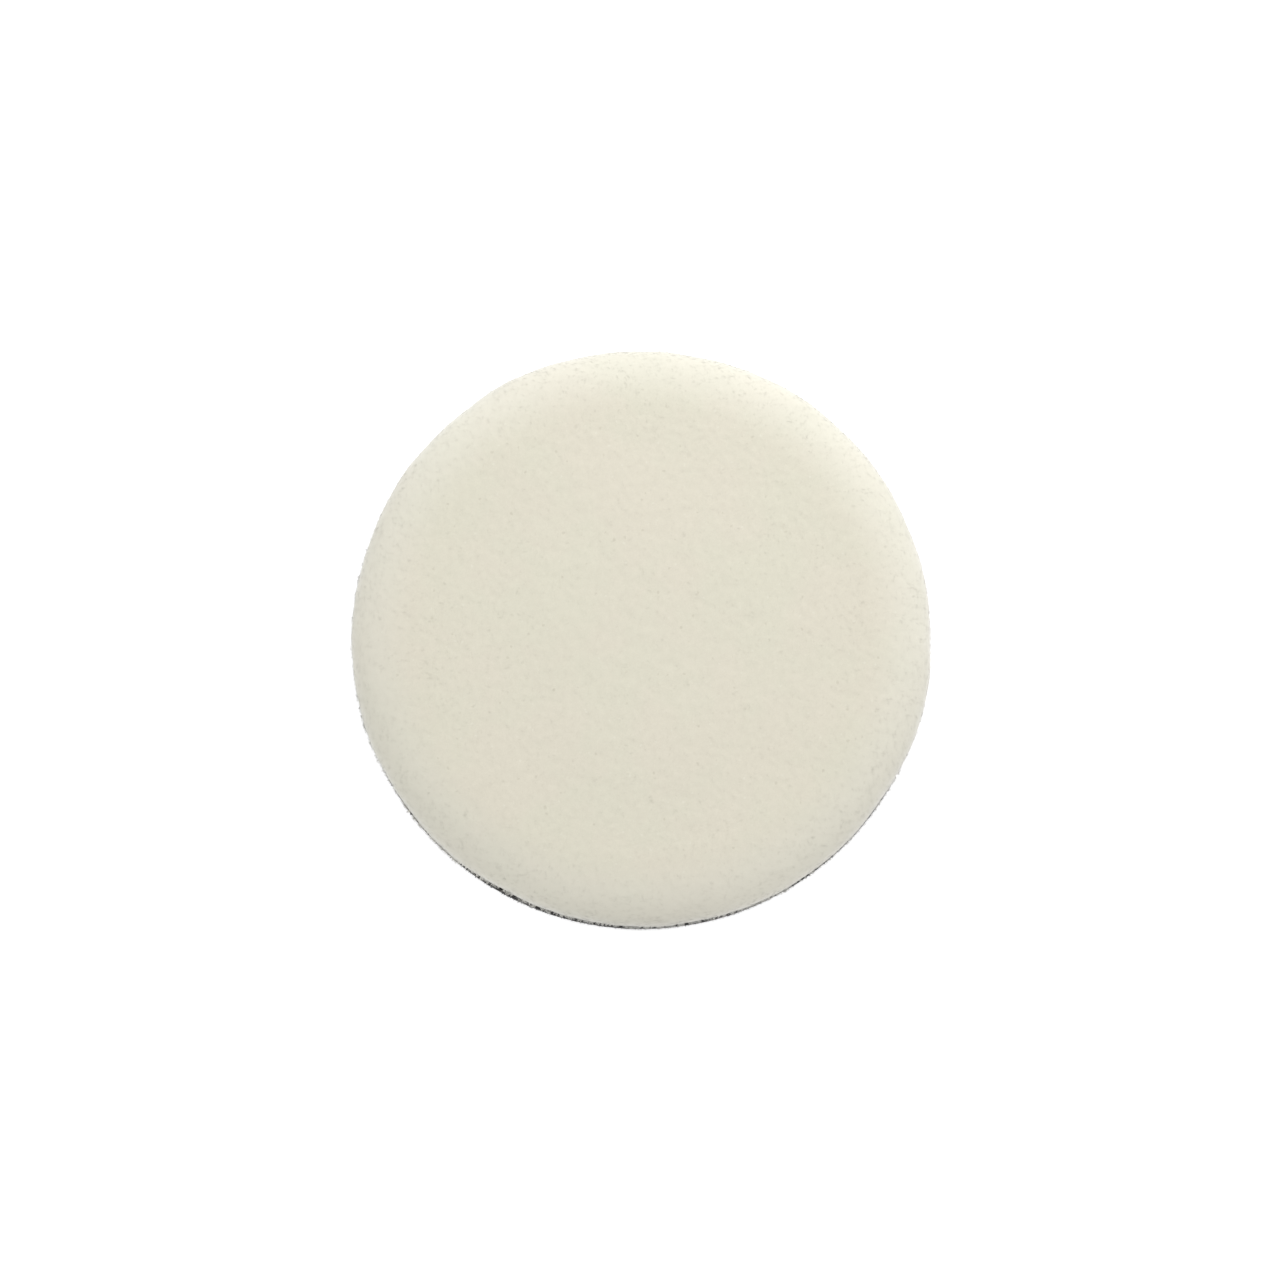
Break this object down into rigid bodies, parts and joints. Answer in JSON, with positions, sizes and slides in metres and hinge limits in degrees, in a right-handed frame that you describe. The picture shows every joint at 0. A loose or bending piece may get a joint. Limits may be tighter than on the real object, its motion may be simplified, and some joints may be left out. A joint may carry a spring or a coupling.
{
  "type": "felt polishing disc",
  "caption": "Round wool felt polishing disc with a flat napped face, a rounded front edge and a dark loop-cloth back for a hook-and-loop plate.",
  "frame": {"origin": "centre of the back, on the plane that the loops rest on", "axes": "+Z is the disc's axis and points out of the felt's working face; X and Y lie in the back plane, and neither is special because the disc is round"},
  "size_m": [0.1004, 0.1004, 0.0125],
  "materials": {
    "wool_felt": "dense cream wool felt with a short raised nap",
    "adhesive_film": "cured hot-melt film, slightly translucent amber",
    "loop_cloth": "charcoal knitted cloth with brushed loops"
  },
  "bodies": {
    "root": {"felt_pad": "wool_felt", "bond_film": "adhesive_film", "loop_backing": "loop_cloth"}
  },
  "joints": []
}
